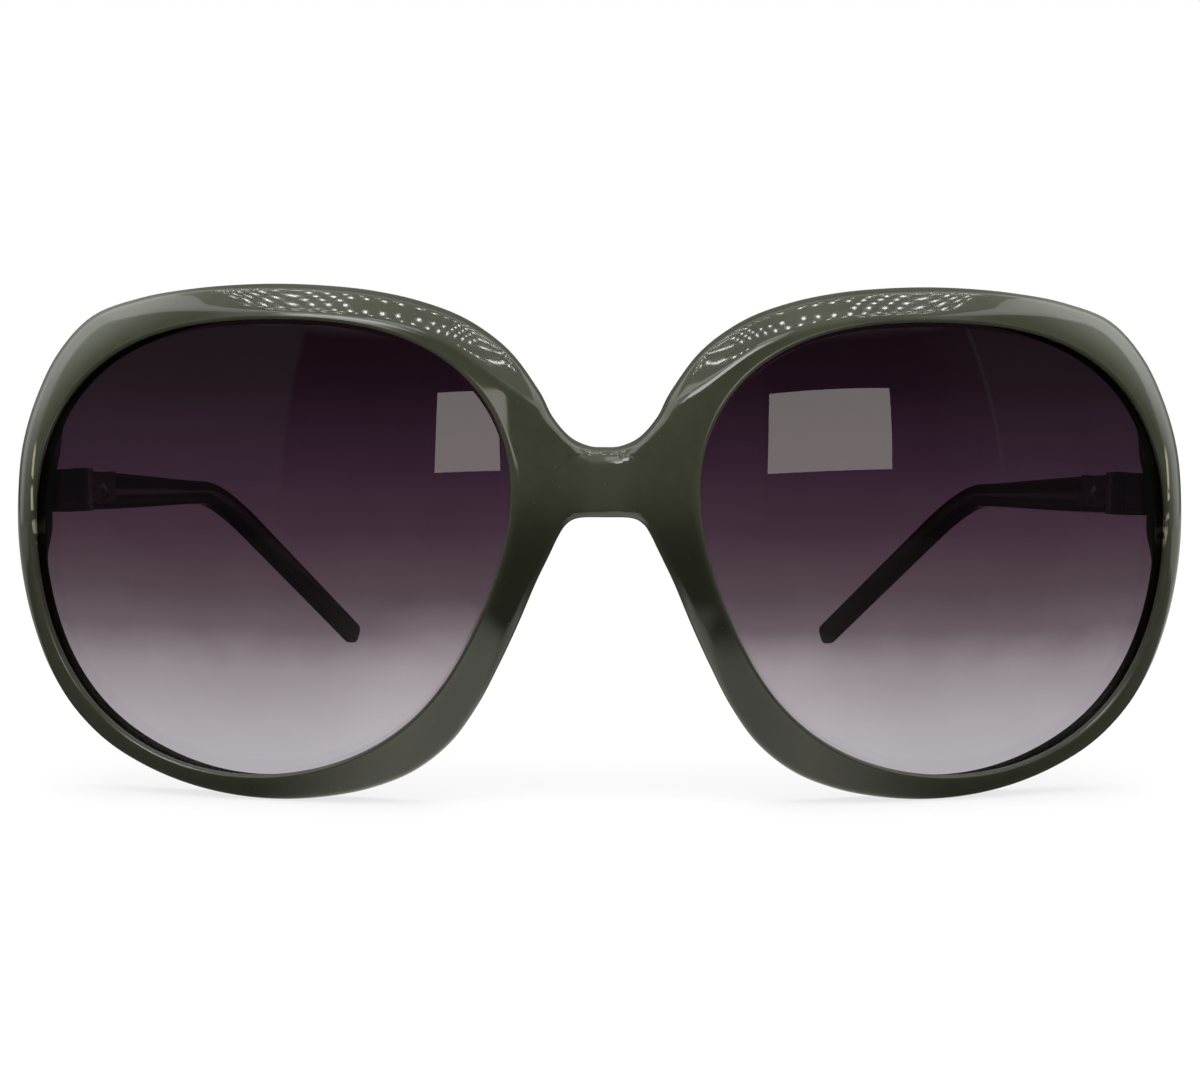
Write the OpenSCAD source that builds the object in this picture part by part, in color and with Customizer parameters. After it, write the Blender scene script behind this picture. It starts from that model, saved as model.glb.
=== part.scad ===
// Oversized sunglasses, standing open on the lower rims and the two temple tips.
// +Z is up, the lenses face -Y, and the temples run back along +Y.
// Left and right are the wearer's, so the right-hand pieces lie on the -X side.

/* [Lenses] */
// Width of each lens opening
lens_w = 60; // [56:0.5:63]
// Height of each lens opening
lens_h = 56.2; // [52:0.2:60]
// Radius of the front surface of the lens
lens_radius = 88.8; // [84:0.2:110]
// Thickness of the lens
lens_t = 2; // [1.6:0.1:2.4]
// Angle that each lens is turned back towards its temple
wrap_angle = 10; // [7:0.5:13]

/* [Front] */
// Gap between the two lens openings
bridge_gap = 22.4; // [20:0.2:26]
// Height of the bridge bar
bridge_h = 8.4; // [7:0.2:10]
// Top of the bridge above the middle of the lenses
bridge_rise = 12.65; // [11:0.05:15]
// Radius that rounds the front over the nose
bridge_blend = 5; // [3:0.5:8]
// Width of the rim above the lens
rim_top_w = 4.4; // [3.8:0.1:6]
// Width of the rim under the lens
rim_bottom_w = 3.1; // [2.8:0.1:5]
// Width of the rim beside the temple
rim_outer_w = 3.2; // [3:0.1:5]
// Width of the rim beside the nose
rim_inner_w = 4.6; // [4:0.1:6]
// Depth of the rim over the nose, front to back
rim_t = 4.4; // [4.2:0.1:6]
// Depth of the rim beside the temple, front to back
rim_outer_t = 5.4; // [5:0.1:7]
// Depth of the end piece that carries the hinge, measured from the rim's outer edge
end_piece_t = 5.8; // [5.4:0.1:8]
// Lip that holds the lens from the front
front_lip = 1.2; // [1:0.1:1.5]
// Depth of the lens groove
groove_depth = 0.9; // [0.7:0.1:1.2]
// Clearance between the lens and its groove
lens_clearance = 0.05; // [0.03:0.01:0.08]
// Radius of the front edges
front_edge_r = 1; // [0.7:0.05:1.2]
// Radius of the back edges
back_edge_r = 0.7; // [0.5:0.05:0.9]
// Chamfer round the lens opening
lens_chamfer = 0.35; // [0.2:0.05:0.5]
// Width of the brow facet over the lens
facet_w = 3.6; // [2.6:0.1:3.8]
// Width of the brow facet over the nose
facet_bridge_w = 1.9; // [1.2:0.1:2.2]
// Width of the brow facet at its narrowest, where the bridge turns up into the rim
facet_neck_w = 0.5; // [0.4:0.1:0.8]
// Slope of the brow facet
facet_angle = 30; // [20:1:32]
// Width of the crown that carries the facet on round the outer corner
crown_w = 2.3; // [1.8:0.1:2.4]
// Slope of the crown
crown_angle = 12; // [6:1:16]
// How far the nose rests stand back behind the rim
nose_rest_t = 2.2; // [1:0.1:3]
// Half the height of the nose rests
nose_rest_half_h = 7; // [5:0.5:9]
// How far the nose rests lean away from the nose
nose_rest_lean = 1.2; // [0.4:0.1:1.6]

/* [Hinges] */
// Radius of the hinge knuckles
knuckle_r = 1.6; // [1.5:0.05:1.8]
// Height of the row of five knuckles
hinge_h = 5.4; // [5:0.1:5.8]
// Gap between neighbouring knuckles
knuckle_gap = 0.06; // [0.04:0.01:0.08]
// Gap between the knuckles and what they turn past
hinge_gap = 0.3; // [0.25:0.05:0.4]
// Radius of the hinge screw
screw_r = 0.6; // [0.5:0.05:0.7]
// Radius of the screw head
screw_head_r = 1.1; // [1:0.05:1.3]
// Height of the screw head
screw_head_h = 0.6; // [0.5:0.05:0.7]
// Clearance round the screw
screw_clearance = 0.03; // [0.02:0.01:0.05]
// Thickness of the hinge leaves
leaf_t = 1; // [0.9:0.05:1.2]
// Height of the anchor moulded into the rim
anchor_h = 8; // [6:0.5:9]
// Depth of the anchor moulded into the rim
anchor_d = 1.9; // [1.6:0.1:2]
// Length of the leaf on the temple
temple_leaf_l = 9; // [8:0.5:12]
// Height of the leaf on the temple
temple_leaf_h = 4; // [3.6:0.1:4.2]
// Radius of the rivet head
rivet_head_r = 1.35; // [1.2:0.05:1.5]
// Height of the rivet head
rivet_head_h = 0.7; // [0.5:0.05:0.9]
// Radius of the rivet shank
rivet_r = 0.7; // [0.6:0.05:0.8]
// Length of the rivet shank
rivet_l = 3; // [2.4:0.1:3.4]

/* [Temples] */
// Length of the straight part of the temple
temple_straight = 84; // [76:1:92]
// How far the bent end reaches back
temple_drop_run = 47; // [40:1:52]
// How far the tip bends in towards the head
temple_tip_in = 18; // [12:0.5:20]
// Slope of the straight part
temple_slope = 2.9; // [1:0.1:4]
// Length over which the temple bends
temple_bend_l = 12; // [8:0.5:16]
// Height of the temple at the hinge
temple_h = 5.2; // [5:0.1:6]
// Height of the temple at the bend
temple_bend_h = 3.9; // [3.4:0.1:4.6]
// Height of the temple at the tip
temple_tip_h = 4.2; // [3.4:0.1:5]
// Thickness of the temple at the hinge
temple_t = 5.8; // [5.4:0.1:6.4]
// Thickness of the temple along its length
temple_mid_t = 3.6; // [3.2:0.1:4.4]
// Thickness of the temple at the tip
temple_tip_t = 2.8; // [2.4:0.1:3.4]
// Gap between the open temple and the rim
butt_gap = 0.2; // [0.15:0.05:0.4]

/* [Hidden] */
// Overrun of every cutting solid past the face that it opens
overrun = 0.5;

// Frame plastic, lens tint and hinge metal
frame_colour = [0.27, 0.29, 0.24];
lens_colour = [0.25, 0.18, 0.26, 0.75];
metal_colour = [0.62, 0.61, 0.58];

// Places worked out from the driving sizes
half_w = lens_w / 2;
half_h = lens_h / 2;
half_gap = bridge_gap / 2;
lens_x = half_gap + half_w;
lens_z = rim_bottom_w + half_h;
bridge_top_z = lens_z + bridge_rise;
bridge_low_z = bridge_top_z - bridge_h;
rim_radius = lens_radius + front_lip;
wrap_x = lens_x - rim_radius * sin(wrap_angle);

// Lens opening: one round of waves, each [turns, cosine share, sine share] of the half size
lens_mean_share = 1.013;
lens_wave_shares = [
    [1, 0.027, 0.036], [2, -0.005, -0.035],
    [3, -0.005, 0.036], [4, -0.024, -0.005]
];
function lens_share(t, i = 0) =
    i == len(lens_wave_shares) ? lens_mean_share
    : lens_share(t, i + 1)
      + lens_wave_shares[i][1] * cos(lens_wave_shares[i][0] * t)
      + lens_wave_shares[i][2] * sin(lens_wave_shares[i][0] * t);
function opening(t) = [lens_x + half_w * lens_share(t) * cos(t),
                       lens_z + half_h * lens_share(t) * sin(t)];

// Outer outline of one half of the front, from the top of the bridge round the lens and back.
// Bridge points: [share of half the gap, share of the bridge height, angle on the lens opening]
bridge_top_shares = [[0, 0, 163], [0.18, 0.02, 160.5], [0.385, 0.155, 157.5], [0.575, 0.45, 153.5]];
bridge_low_shares = [[0.61, -0.57, 182], [0.5, -0.265, 178], [0.41, -0.093, 174.5],
                     [0.28, -0.008, 171], [0, 0, 168]];
// Rim points: shares of the lens half sizes plus the rim width on that side
rim_shares = [
    [-0.957, 0.602], [-0.85, 0.753], [-0.702, 0.867], [-0.538, 0.934], [-0.37, 0.973],
    [-0.208, 0.992], [-0.046, 1], [0.12, 0.996], [0.301, 0.981], [0.5, 0.95],
    [0.698, 0.885], [0.8385, 0.745], [0.928, 0.568], [0.982, 0.386], [1, 0.201],
    [1, 0.022], [0.98, -0.16], [0.94, -0.337], [0.877, -0.51], [0.783, -0.667],
    [0.654, -0.798], [0.497, -0.891], [0.331, -0.954], [0.157, -0.99], [-0.02, -1],
    [-0.188, -0.985], [-0.355, -0.946], [-0.514, -0.872], [-0.647, -0.753],
    [-0.746, -0.599], [-0.821, -0.439], [-0.887, -0.282], [-0.948, -0.122]
];
function full_turn(a) = a < 0 ? a + 360 : a;
function bridge_station(p, z) = [half_gap * p[0], z + bridge_h * p[1], p[2]];
function rim_station(p) = [
    lens_x + p[0] * (half_w + (p[0] > 0 ? rim_outer_w : rim_inner_w)),
    lens_z + p[1] * (half_h + (p[1] > 0 ? rim_top_w : rim_bottom_w)),
    full_turn(atan2(p[1], p[0]))
];
// Angles past the inner side lose a full turn, so that they keep falling along the path
function unwound(s) = s[2] > 170 ? [s[0], s[1], s[2] - 360] : s;
stations = concat(
    [for (p = bridge_top_shares) bridge_station(p, bridge_top_z)],
    [for (i = [0:len(rim_shares) - 1]) let (s = rim_station(rim_shares[i])) unwound(s)],
    [for (p = bridge_low_shares) bridge_station(p, bridge_low_z) - [0, 0, 360]]
);
station_count = len(stations);
function flipped(s, about) = [-s[0], s[1], 2 * about[2] - s[2]];
function station(i) =
    i < 0 ? flipped(stations[-i], stations[0])
    : i >= station_count ? flipped(stations[2 * station_count - 2 - i], stations[station_count - 1])
    : stations[i];
// Smooth curve through the stations, q running from 0 to 1 between station i and the next
function curve(i, q) =
    let (a = station(i - 1), b = station(i), c = station(i + 1), d = station(i + 2))
    0.5 * (2 * b + (c - a) * q + (2 * a - 5 * b + 4 * c - d) * q * q
           + (3 * b - a - 3 * c + d) * q * q * q);
curve_steps = 2;
rim_path = [for (i = [0:station_count - 2]) for (j = [0:curve_steps - 1]) curve(i, j / curve_steps),
            stations[station_count - 1]];
rim_count = len(rim_path);
// The brow facet follows the path from the middle round the upper outer corner, then as a low crown
// down beside the temple
brow_stations = 20;
brow_end = len(bridge_top_shares) + brow_stations;
brow_path = [for (i = [0:brow_end * curve_steps]) rim_path[i]];

// Surfaces of the front, as depths behind the foremost plane
function smooth01(a, b, v) = let (q = max(0, min(1, (v - a) / (b - a)))) q * q * (3 - 2 * q);
function face_y(x, z) =
    let (a = sqrt(x * x + bridge_blend * bridge_blend) - wrap_x, b = z - lens_z)
    rim_radius - sqrt(rim_radius * rim_radius - a * a - b * b);
function lens_y(x, z, r) =
    rim_radius - sqrt(r * r - (x - wrap_x) * (x - wrap_x) - (z - lens_z) * (z - lens_z));
function seg_dist(p, a, b) =
    let (d = b - a, n = d * d, q = n == 0 ? 0 : max(0, min(1, (p - a) * d / n))) norm(p - a - q * d);
function path_dist(p, path) =
    min([for (i = [0:len(path) - 2])
        seg_dist(p, [path[i][0], path[i][1]], [path[i + 1][0], path[i + 1][1]])]);
function edge_drop(d, r) = d >= r ? 0 : r - sqrt(max(0, r * r - (r - d) * (r - d)));
function outer_share(x) = smooth01(lens_x - 0.15 * half_w, lens_x + 0.5 * half_w, x);
function facet_width(x) =
    facet_neck_w + (facet_bridge_w - facet_neck_w) * (1 - smooth01(0.15 * half_gap, 0.5 * half_gap, x))
    + (facet_w - facet_neck_w) * smooth01(0.4 * half_gap, 1.35 * half_gap, x)
    - (facet_w - crown_w) * outer_share(x);
function facet_slope(p) =
    (tan(facet_angle) + (tan(crown_angle) - tan(facet_angle)) * outer_share(p[0]))
    * smooth01(lens_z - 0.8 * half_h, lens_z, p[1]);
// The facet is bowed: steeper towards the outline than beside the lens
facet_soft = front_edge_r * 0.4;
facet_bow_share = 0.2;
function facet_run(t) =
    t < -facet_soft ? 0 : t > facet_soft ? t : (t + facet_soft) * (t + facet_soft) / (4 * facet_soft);
function facet_drop(d, p) =
    let (t = facet_run(facet_width(p[0]) - d))
    facet_slope(p) * t * (1 + facet_bow_share * (t / facet_w - 0.5));
function front_y(p) =
    face_y(p[0], p[1]) + edge_drop(path_dist(p, rim_path), front_edge_r)
    + facet_drop(path_dist(p, brow_path), p);

// End piece, nose rests and depth of the back
hinge_z = lens_z + 0.23 * half_h;
end_flat = 0.78 * hinge_h;
end_fade = 0.9 * hinge_h;
end_piece_y = face_y(lens_x + half_w + rim_outer_w, hinge_z) + end_piece_t;
// Ledge behind the lens, round its outer half
lens_ledge = rim_outer_w * 0.3;
end_draft = rim_outer_w * 0.6;
function end_share(x, z) =
    smooth01(lens_x + 0.62 * half_w, lens_x + 0.84 * half_w, x)
    * (1 - smooth01(end_flat, end_flat + end_fade, abs(z - hinge_z)));
nose_rest_z = lens_z - 0.33 * half_h;
function nose_share(x, z) =
    (1 - smooth01(half_gap * 1.4, half_gap * 2, x))
    * (1 - smooth01(nose_rest_half_h * 0.4, nose_rest_half_h * 1.4, abs(z - nose_rest_z)));
function back_y(p) =
    let (x = p[0], z = p[1],
         plain = face_y(x, z) + rim_t + (rim_outer_t - rim_t) * smooth01(lens_x, lens_x + half_w, x)
                 + nose_rest_t * nose_share(x, z),
         e = end_share(x, z))
    plain * (1 - e) + end_piece_y * e;
function side_draft(p) =
    end_draft * end_share(p[0], p[1]) + nose_rest_lean * nose_share(p[0], p[1]);

// One spoke of the front runs from the lens opening [0] to the outline or the middle plane [1].
// Spokes over the bridge end on the middle plane.
mid_z = (bridge_top_z + bridge_low_z) / 2;
cut_z = concat(
    [for (q = [0.12, 0.45, 1]) bridge_top_z - q * front_edge_r],
    [bridge_top_z - facet_bridge_w - front_edge_r, mid_z],
    [for (q = [1.6, 1, 0.45, 0.12]) bridge_low_z + q * front_edge_r]
);
cut_count = len(cut_z);
low_angle = stations[station_count - 1][2];
top_angle = stations[0][2] - 360;
function cut_spoke(i) = [
    opening(low_angle + (top_angle - low_angle) * (i + 1) / (cut_count + 1)),
    [0, cut_z[cut_count - 1 - i]]
];
spokes = concat(
    [for (s = rim_path) [opening(s[2]), [s[0], s[1]]]],
    [for (i = [0:cut_count - 1]) cut_spoke(i)]
);
spoke_count = len(spokes);
function on_plane(k) = k == 0 || k >= rim_count - 1;

// Cross-section of the front along a spoke, as points [x, y, z]
function spoke_points(k) =
    let (in = spokes[k][0], out = spokes[k][1], w = norm(out - in), n = (out - in) / w,
         cut = k >= rim_count,
         ledge = lens_ledge * smooth01(lens_x - 0.1 * half_w, lens_x + 0.6 * half_w, in[0]),
         draft = cut ? 0 : side_draft(out),
         ridge = min(0.8 * w, max(facet_width(out[0]), 1.6 * front_edge_r)),
         seat_front = lens_y(in[0], in[1], lens_radius) - lens_clearance,
         seat_back = lens_y(in[0], in[1], lens_radius - lens_t) + lens_clearance,
         deep = in + n * (groove_depth + lens_clearance),
         deep_front = lens_y(deep[0], deep[1], lens_radius) - lens_clearance,
         deep_back = lens_y(deep[0], deep[1], lens_radius - lens_t) + lens_clearance,
         wall = lens_chamfer * 0.7,
         low = in + n * (wall - ledge),
         low_back = back_y(low) - lens_chamfer,
         lip_y = seat_back + min(0.4 * lens_t, 0.5 * (low_back - seat_back)),
         front_s = [lens_chamfer, lens_chamfer + (w - ridge - lens_chamfer) / 3,
                    lens_chamfer + (w - ridge - lens_chamfer) * 2 / 3, w - ridge,
                    w - front_edge_r, w - 0.45 * front_edge_r, w - 0.12 * front_edge_r, w],
         back_s = [w - draft, w - draft - 0.3 * back_edge_r, w - draft - back_edge_r,
                   (w - draft + wall - ledge) / 2, wall - ledge + lens_chamfer])
    concat(
        [[in[0], seat_front, in[1]], [in[0], face_y(in[0], in[1]) + lens_chamfer, in[1]]],
        [for (s = front_s) let (p = in + n * s) [p[0], front_y(p), p[1]]],
        [for (s = back_s) let (p = in + n * s)
            [p[0], back_y(p) - edge_drop(path_dist(p, rim_path) - draft, back_edge_r), p[1]]],
        [[low[0], low_back, low[1]],
         [low[0], lip_y + 0.45 * (low_back - lip_y), low[1]],
         [in[0] + n[0] * wall, lip_y, in[1] + n[1] * wall],
         [in[0] + n[0] * wall, seat_back, in[1] + n[1] * wall],
         [deep[0], deep_back, deep[1]],
         [deep[0], deep_front, deep[1]]]
    );
front_points = [for (k = [0:spoke_count - 1]) spoke_points(k)];
ring_count = len(front_points[0]);
wall_index = 9;

front_min_y = min([for (ring = front_points) for (p = ring) p[1]]);

// Hinge places
hinge_x = lens_x + half_w + rim_outer_w - 4.1 * knuckle_r;
hinge_y = end_piece_y + knuckle_r + hinge_gap;
knuckle_h = (hinge_h - 4 * knuckle_gap) / 5;
hinge_low_z = hinge_z - hinge_h / 2;
anchor_x = lens_x + half_w + rim_outer_w * 0.1;
temple_inner_x = hinge_x - knuckle_r + 0.2 * leaf_t;
temple_leaf_y = hinge_y + knuckle_r + 2 * hinge_gap;
temple_start_y = end_piece_y + butt_gap;
rivet_y = temple_leaf_y + 0.42 * temple_leaf_l;
rivet_z = hinge_z - (rivet_y - temple_start_y) * tan(temple_slope);
screw_bore_r = screw_r + screw_clearance;
counterbore_h = 0.5 * knuckle_h;

// Temple path along the middle of its inner face, from the hinge to the tip.
// The tip is a round whose middle stands its own radius above the floor.
tip_r = temple_tip_h / 2;
temple_lead = 2 * overrun;
bend_y = temple_start_y + temple_straight;
bend_z = hinge_z - temple_straight * tan(temple_slope);
start_point = [temple_inner_x, temple_start_y - temple_lead, hinge_z + temple_lead * tan(temple_slope)];
bend_point = [temple_inner_x, bend_y, bend_z];
tip_middle = [temple_inner_x - temple_tip_in, bend_y + temple_drop_run - tip_r, tip_r];
tip_way = unit(tip_middle - bend_point);
tip_dip = -tip_way[2];
tip_point = tip_middle + tip_r * tip_way;
function unit(v) = v / norm(v);
bend_start = bend_point - unit(bend_point - start_point) * temple_bend_l;
bend_finish = bend_point + unit(tip_point - bend_point) * temple_bend_l;
function mix(a, b, q) = a + (b - a) * q;
function bend_at(q) = mix(mix(bend_start, bend_point, q), mix(bend_point, bend_finish, q), q);
straight_stops = [0, 0.05, 0.1, 0.17, 0.26, 0.38, 0.52, 0.68, 0.84];
bend_steps = 8;
drop_stops = [0.12, 0.3, 0.48, 0.66, 0.84];
tip_stops = [0, tip_dip, 0.8, 0.93, 1];
temple_path = concat(
    [for (q = straight_stops) mix(start_point, bend_start, q)],
    [for (i = [0:bend_steps]) bend_at(i / bend_steps)],
    [for (q = drop_stops) mix(bend_finish, tip_middle, q)],
    [for (q = tip_stops) tip_middle + q * tip_r * tip_way]
);
temple_rings = len(temple_path);
function along(i) = i == 0 ? 0 : along(i - 1) + norm(temple_path[i] - temple_path[i - 1]);
temple_len = along(temple_rings - 1);
bend_share = norm(bend_start - start_point) / temple_len;
function temple_height(q) =
    q < bend_share ? mix(temple_h, temple_bend_h, smooth01(0.08, 1, q / bend_share))
    : mix(temple_bend_h, temple_tip_h, (q - bend_share) / (1 - bend_share));
function temple_thick(q) =
    mix(mix(temple_t, temple_mid_t, smooth01(0.03, 0.3, q)), temple_tip_t, smooth01(0.4, 1, q));
// The tip closes over its last stretch, as a quarter round with a small flat end
function tip_scale(rest) = rest > tip_r ? 1 : max(0.25, sqrt(max(0, 1 - pow(1 - rest / tip_r, 2))));
temple_sides = 20;
corner_share = 0.5;
function squared(v) = sign(v) * pow(abs(v), corner_share);
function temple_ring(i) =
    let (t = unit(temple_path[min(i + 1, temple_rings - 1)] - temple_path[max(i - 1, 0)]),
         u = unit(cross(t, [0, 0, 1])), v = cross(u, t),
         q = along(i) / temple_len, k = tip_scale(temple_len - along(i)),
         h = temple_height(q) * k / 2, w = temple_thick(q) / 2)
    [for (j = [0:temple_sides - 1]) let (a = 360 * j / temple_sides)
        temple_path[i] + u * (w + w * k * squared(cos(a))) + v * h * squared(sin(a))];
temple_points = [for (i = [0:temple_rings - 1]) temple_ring(i)];
back_max_y = max([for (ring = temple_points) for (p = ring) p[1]]);

// The whole model stands centred on its origin
module placed() { translate([0, -(front_min_y + back_max_y) / 2, 0]) children(); }
module left_side() { placed() children(); }
module right_side() { mirror([1, 0, 0]) placed() children(); }

// Both halves of the front as one closed shell
function half_faces(side) =
    let (base = side * spoke_count * ring_count)
    [for (k = [0:spoke_count - 1]) for (i = [0:ring_count - 1])
        let (k2 = (k + 1) % spoke_count, i2 = (i + 1) % ring_count,
             open = i == wall_index && on_plane(k) && on_plane(k2),
             a = point_id(side, k, i), b = point_id(side, k, i2),
             c = point_id(side, k2, i2), d = point_id(side, k2, i))
        if (!open) for (f = side == 0 ? [[a, c, d], [a, b, c]] : [[a, d, c], [a, c, b]]) f];
function point_id(side, k, i) =
    (side == 1 && on_plane(k) && (i == wall_index || i == wall_index + 1) ? 0
        : side * spoke_count * ring_count) + k * ring_count + i;

module front_shell() {
    right = [for (ring = front_points) for (p = ring) p];
    polyhedron(concat(right, [for (p = right) [-p[0], p[1], p[2]]]),
               concat(half_faces(0), half_faces(1)), convexity = 10);
}

// Leaf and anchor moulded into the end piece, run on past its back face when they cut their own pocket
module front_leaf_body(past) {
    translate([hinge_x, end_piece_y - leaf_t, hinge_low_z])
        cube([anchor_x + leaf_t - hinge_x, leaf_t + past, hinge_h]);
    translate([anchor_x, end_piece_y - leaf_t - anchor_d, hinge_low_z])
        cube([leaf_t, anchor_d + leaf_t + past, hinge_h]);
    translate([anchor_x, end_piece_y - leaf_t - anchor_d, hinge_low_z + hinge_h - anchor_h])
        cube([leaf_t, anchor_d - leaf_t, anchor_h]);
}

module front_frame() {
    color(frame_colour) placed() difference() {
        front_shell();
        front_leaf_body(overrun);
        mirror([1, 0, 0]) front_leaf_body(overrun);
    }
}

module lens() {
    edge = groove_depth;
    color(lens_colour) intersection() {
        translate([wrap_x, rim_radius, lens_z]) difference() {
            sphere(lens_radius, $fn = 96);
            sphere(lens_radius - lens_t, $fn = 96);
        }
        translate([0, rim_radius / 2, 0]) rotate([90, 0, 0])
            linear_extrude(rim_radius)
                polygon([for (t = [0:5:355])
                    let (p = opening(t), c = [lens_x, lens_z]) p + (p - c) / norm(p - c) * edge]);
    }
}

module knuckle(i) {
    translate([hinge_x, hinge_y, hinge_low_z + i * (knuckle_h + knuckle_gap)])
        cylinder(knuckle_h, r = knuckle_r, $fn = 48);
}

// Bore of the screw through the knuckles, and the seat of its head in the top one
module screw_bore() {
    translate([hinge_x, hinge_y, hinge_low_z - overrun])
        cylinder(hinge_h + 2 * overrun, r = screw_bore_r, $fn = 32);
    translate([hinge_x, hinge_y, hinge_low_z + hinge_h - counterbore_h])
        cylinder(counterbore_h + overrun, r = screw_head_r + screw_clearance, $fn = 32);
}

module front_hinge() {
    color(metal_colour) difference() {
        union() {
            front_leaf_body(0);
            for (i = [0:2:4]) {
                knuckle(i);
                translate([hinge_x, end_piece_y - leaf_t / 2, hinge_low_z + i * (knuckle_h + knuckle_gap)])
                    cube([knuckle_r, hinge_y - end_piece_y + leaf_t / 2, knuckle_h]);
            }
        }
        screw_bore();
    }
}

module temple_leaf_body() {
    translate([temple_inner_x, temple_leaf_y, hinge_z - temple_leaf_h / 2])
        cube([leaf_t, temple_leaf_l, temple_leaf_h]);
}

module rivet_shank(r, extra) {
    translate([temple_inner_x - extra, rivet_y, rivet_z]) rotate([0, 90, 0])
        cylinder(rivet_l + extra, r = r, $fn = 32);
}

module temple_hinge() {
    web_t = hinge_x - temple_inner_x + 0.5 * knuckle_r;
    color(metal_colour) difference() {
        union() {
            temple_leaf_body();
            for (i = [1:2:3]) {
                knuckle(i);
                translate([temple_inner_x, hinge_y, hinge_low_z + i * (knuckle_h + knuckle_gap)])
                    cube([leaf_t, temple_leaf_y - hinge_y + leaf_t, knuckle_h]);
                translate([temple_inner_x, hinge_y, hinge_low_z + i * (knuckle_h + knuckle_gap)])
                    cube([web_t, knuckle_r + hinge_gap, knuckle_h]);
            }
        }
        screw_bore();
        rivet_shank(rivet_r + screw_clearance, overrun);
    }
}

module hinge_screw() {
    slot_w = 0.3 * screw_head_r;
    color(metal_colour) translate([hinge_x, hinge_y, hinge_low_z]) difference() {
        union() {
            cylinder(hinge_h - counterbore_h + screw_head_h / 2, r = screw_r, $fn = 32);
            translate([0, 0, hinge_h - counterbore_h])
                cylinder(screw_head_h, r = screw_head_r, $fn = 32);
        }
        translate([-screw_head_r - overrun, -slot_w / 2, hinge_h - counterbore_h + screw_head_h / 2])
            cube([2 * (screw_head_r + overrun), slot_w, screw_head_h]);
    }
}

module temple_rivet() {
    dome_r = (rivet_head_r * rivet_head_r + rivet_head_h * rivet_head_h) / (2 * rivet_head_h);
    color(metal_colour) union() {
        rivet_shank(rivet_r, 0);
        intersection() {
            translate([temple_inner_x - rivet_head_h + dome_r, rivet_y, rivet_z])
                sphere(dome_r, $fn = 64);
            translate([temple_inner_x - rivet_head_h - overrun, rivet_y, rivet_z]) rotate([0, 90, 0])
                cylinder(rivet_head_h + overrun, r = rivet_head_r, $fn = 48);
        }
    }
}

function temple_faces() = concat(
    [for (i = [0:temple_rings - 2]) for (j = [0:temple_sides - 1])
        let (j2 = (j + 1) % temple_sides, a = i * temple_sides + j, b = i * temple_sides + j2,
             c = a + temple_sides, d = b + temple_sides)
        for (f = [[a, b, d], [a, d, c]]) f],
    [for (j = [1:temple_sides - 2]) [0, j + 1, j]],
    [for (j = [1:temple_sides - 2]) let (e = (temple_rings - 1) * temple_sides) [e, e + j, e + j + 1]]
);

module temple() {
    clear_x = hinge_x + knuckle_r + hinge_gap;
    color(frame_colour) difference() {
        polyhedron([for (ring = temple_points) for (p = ring) p], temple_faces(), convexity = 6);
        translate([temple_inner_x - temple_t, temple_start_y - temple_t, hinge_z - temple_t])
            cube([3 * temple_t, temple_t, 2 * temple_t]);
        translate([temple_inner_x - temple_t, end_piece_y, hinge_z - temple_t])
            cube([temple_t + clear_x - temple_inner_x, temple_leaf_y - end_piece_y, 2 * temple_t]);
        temple_leaf_body();
        rivet_shank(rivet_r + screw_clearance, overrun);
    }
}

front_frame();
right_side() lens();  // right_lens
left_side() lens();  // left_lens
right_side() front_hinge();  // right_front_hinge
left_side() front_hinge();  // left_front_hinge
right_side() temple_hinge();  // right_temple_hinge
left_side() temple_hinge();  // left_temple_hinge
right_side() hinge_screw();  // right_hinge_screw
left_side() hinge_screw();  // left_hinge_screw
right_side() temple_rivet();  // right_temple_rivet
left_side() temple_rivet();  // left_temple_rivet
right_side() temple();  // right_temple
left_side() temple();  // left_temple
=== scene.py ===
"""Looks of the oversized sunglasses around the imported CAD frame.

Shapes that show repeat the formulas of the CAD source with finer steps, in millimetres, and are scaled
to metres when their meshes are made. The front faces -Y, +Z is up and the wearer's left is on +X.
"""
import math
import bpy
import numpy as np
from mathutils import Euler, Matrix, Vector


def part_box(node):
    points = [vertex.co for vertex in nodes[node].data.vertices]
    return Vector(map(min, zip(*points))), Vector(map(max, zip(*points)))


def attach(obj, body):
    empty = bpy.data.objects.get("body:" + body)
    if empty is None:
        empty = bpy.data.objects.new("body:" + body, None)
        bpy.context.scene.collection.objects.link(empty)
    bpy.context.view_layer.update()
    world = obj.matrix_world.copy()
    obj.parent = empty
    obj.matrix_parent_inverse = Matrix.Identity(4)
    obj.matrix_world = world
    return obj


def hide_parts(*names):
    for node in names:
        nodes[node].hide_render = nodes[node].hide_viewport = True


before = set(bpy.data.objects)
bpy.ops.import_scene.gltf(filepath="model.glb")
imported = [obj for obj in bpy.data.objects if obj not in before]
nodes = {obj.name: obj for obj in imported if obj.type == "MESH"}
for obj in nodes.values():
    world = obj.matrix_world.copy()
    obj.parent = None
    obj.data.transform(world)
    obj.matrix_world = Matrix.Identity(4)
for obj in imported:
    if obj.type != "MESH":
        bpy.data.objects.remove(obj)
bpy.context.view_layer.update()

MM = 0.001
SIDES = {"right": -1, "left": 1}

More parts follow.
